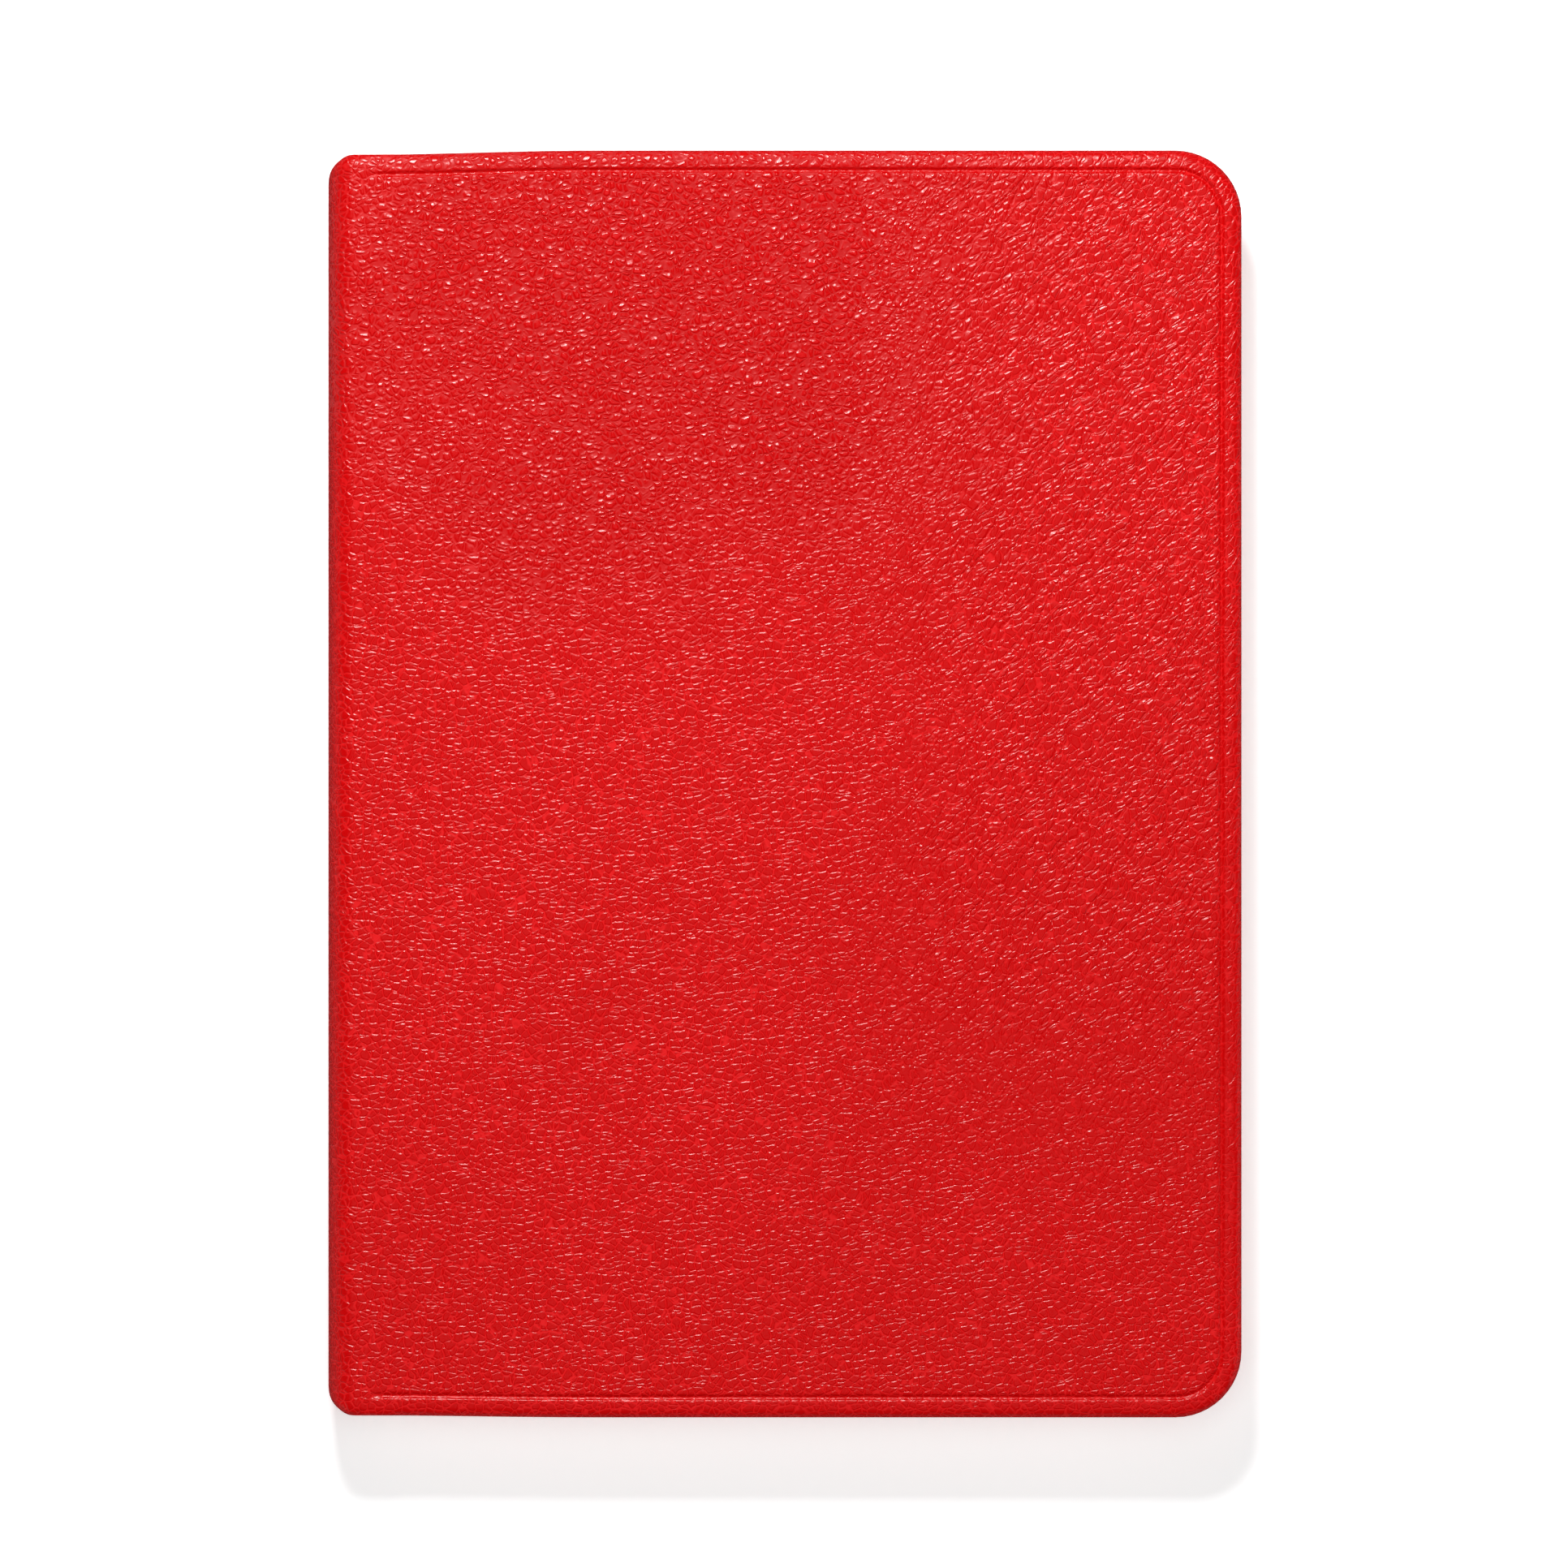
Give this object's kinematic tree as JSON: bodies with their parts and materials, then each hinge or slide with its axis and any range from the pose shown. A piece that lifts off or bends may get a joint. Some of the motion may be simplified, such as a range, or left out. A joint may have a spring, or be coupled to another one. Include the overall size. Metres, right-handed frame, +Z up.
{
  "type": "pocket notebook",
  "caption": "Closed pocket notebook with a limp pebbled red leather cover, a tooled border line, a rounded spine and a sewn block of paper pages.",
  "frame": {"origin": "bottom centre of the closed notebook's bounding box, on the face it lies on", "axes": "+X from the spine towards the fore edge, +Y along the spine towards the head, +Z up from the back cover to the front cover"},
  "size_m": [0.1106, 0.153, 0.0123],
  "materials": {
    "leather": "pebbled grain, semi-gloss",
    "board": "matte grey-brown board",
    "infill_paper": "matte",
    "endpaper": "matte",
    "page_paper": "matte",
    "kraft_paper": "matte",
    "mull_cloth": "open weave",
    "band_silk": "striped weave",
    "thread": "waxed linen"
  },
  "bodies": {
    "book_block": {"spine_leather": "leather", "spine_liner": "board", "spine_kraft": "kraft_paper", "spine_mull": "mull_cloth", "front_joint_leather": "leather", "back_joint_leather": "leather", "headband": "band_silk", "tailband": "band_silk", "sewing_thread": "thread", "back_flyleaf": "endpaper", "section_02": "page_paper", "section_03": "page_paper", "section_04": "page_paper", "section_05": "page_paper", "section_06": "page_paper", "section_07": "page_paper", "section_08": "page_paper", "section_09": "page_paper", "section_10": "page_paper"},
    "front_cover": {"front_leather": "leather", "front_board": "board", "front_infill": "infill_paper", "front_pastedown": "endpaper"},
    "back_cover": {"back_leather": "leather", "back_board": "board", "back_infill": "infill_paper", "back_pastedown": "endpaper"},
    "flyleaf": {"front_flyleaf": "endpaper"},
    "page_1": {"leaf_1": "page_paper"},
    "page_2": {"leaf_2": "page_paper"},
    "page_3": {"leaf_3": "page_paper"},
    "page_4": {"leaf_4": "page_paper"},
    "page_5": {"leaf_5": "page_paper"},
    "page_6": {"leaf_6": "page_paper"},
    "page_7": {"leaf_7": "page_paper"},
    "page_8": {"leaf_8": "page_paper"}
  },
  "joints": [
    {"name": "front_cover_hinge", "type": "hinge", "parent": "book_block", "child": "front_cover", "pos_m": [-0.05105, 0, 0.01135], "axis": [0, -1, 0], "range_deg": [0, 179.9], "deforming": ["front_joint_leather"]},
    {"name": "back_cover_hinge", "type": "hinge", "parent": "book_block", "child": "back_cover", "pos_m": [-0.05105, 0, 0.00095], "axis": [0, 1, 0], "range_deg": [0, 179.9], "deforming": ["back_joint_leather"]},
    {"name": "flyleaf_turn", "type": "hinge", "parent": "book_block", "child": "flyleaf", "pos_m": [-0.05105, 0, 0.01135], "axis": [0, -1, 0], "range_deg": [0, 167.8]},
    {"name": "page_1_turn", "type": "hinge", "parent": "book_block", "child": "page_1", "pos_m": [-0.05105, 0, 0.01135], "axis": [0, -1, 0], "range_deg": [0, 155.2]},
    {"name": "page_2_turn", "type": "hinge", "parent": "book_block", "child": "page_2", "pos_m": [-0.05105, 0, 0.01135], "axis": [0, -1, 0], "range_deg": [0, 142.6]},
    {"name": "page_3_turn", "type": "hinge", "parent": "book_block", "child": "page_3", "pos_m": [-0.05105, 0, 0.01135], "axis": [0, -1, 0], "range_deg": [0, 128.2]},
    {"name": "page_4_turn", "type": "hinge", "parent": "book_block", "child": "page_4", "pos_m": [-0.05105, 0, 0.01135], "axis": [0, -1, 0], "range_deg": [0, 112]},
    {"name": "page_5_turn", "type": "hinge", "parent": "book_block", "child": "page_5", "pos_m": [-0.05105, 0, 0.01135], "axis": [0, -1, 0], "range_deg": [0, 94]},
    {"name": "page_6_turn", "type": "hinge", "parent": "book_block", "child": "page_6", "pos_m": [-0.05105, 0, 0.01135], "axis": [0, -1, 0], "range_deg": [0, 76.1]},
    {"name": "page_7_turn", "type": "hinge", "parent": "book_block", "child": "page_7", "pos_m": [-0.05105, 0, 0.01135], "axis": [0, -1, 0], "range_deg": [0, 56.3]},
    {"name": "page_8_turn", "type": "hinge", "parent": "book_block", "child": "page_8", "pos_m": [-0.05105, 0, 0.01135], "axis": [0, -1, 0], "range_deg": [0, 36.5]}
  ],
  "couplings": [
    {"joint": "flyleaf_turn", "follows": "front_cover_hinge", "ratio": 0.93},
    {"joint": "page_1_turn", "follows": "front_cover_hinge", "ratio": 0.86},
    {"joint": "page_2_turn", "follows": "front_cover_hinge", "ratio": 0.79},
    {"joint": "page_3_turn", "follows": "front_cover_hinge", "ratio": 0.71},
    {"joint": "page_4_turn", "follows": "front_cover_hinge", "ratio": 0.62},
    {"joint": "page_5_turn", "follows": "front_cover_hinge", "ratio": 0.52},
    {"joint": "page_6_turn", "follows": "front_cover_hinge", "ratio": 0.42},
    {"joint": "page_7_turn", "follows": "front_cover_hinge", "ratio": 0.31},
    {"joint": "page_8_turn", "follows": "front_cover_hinge", "ratio": 0.2}
  ]
}
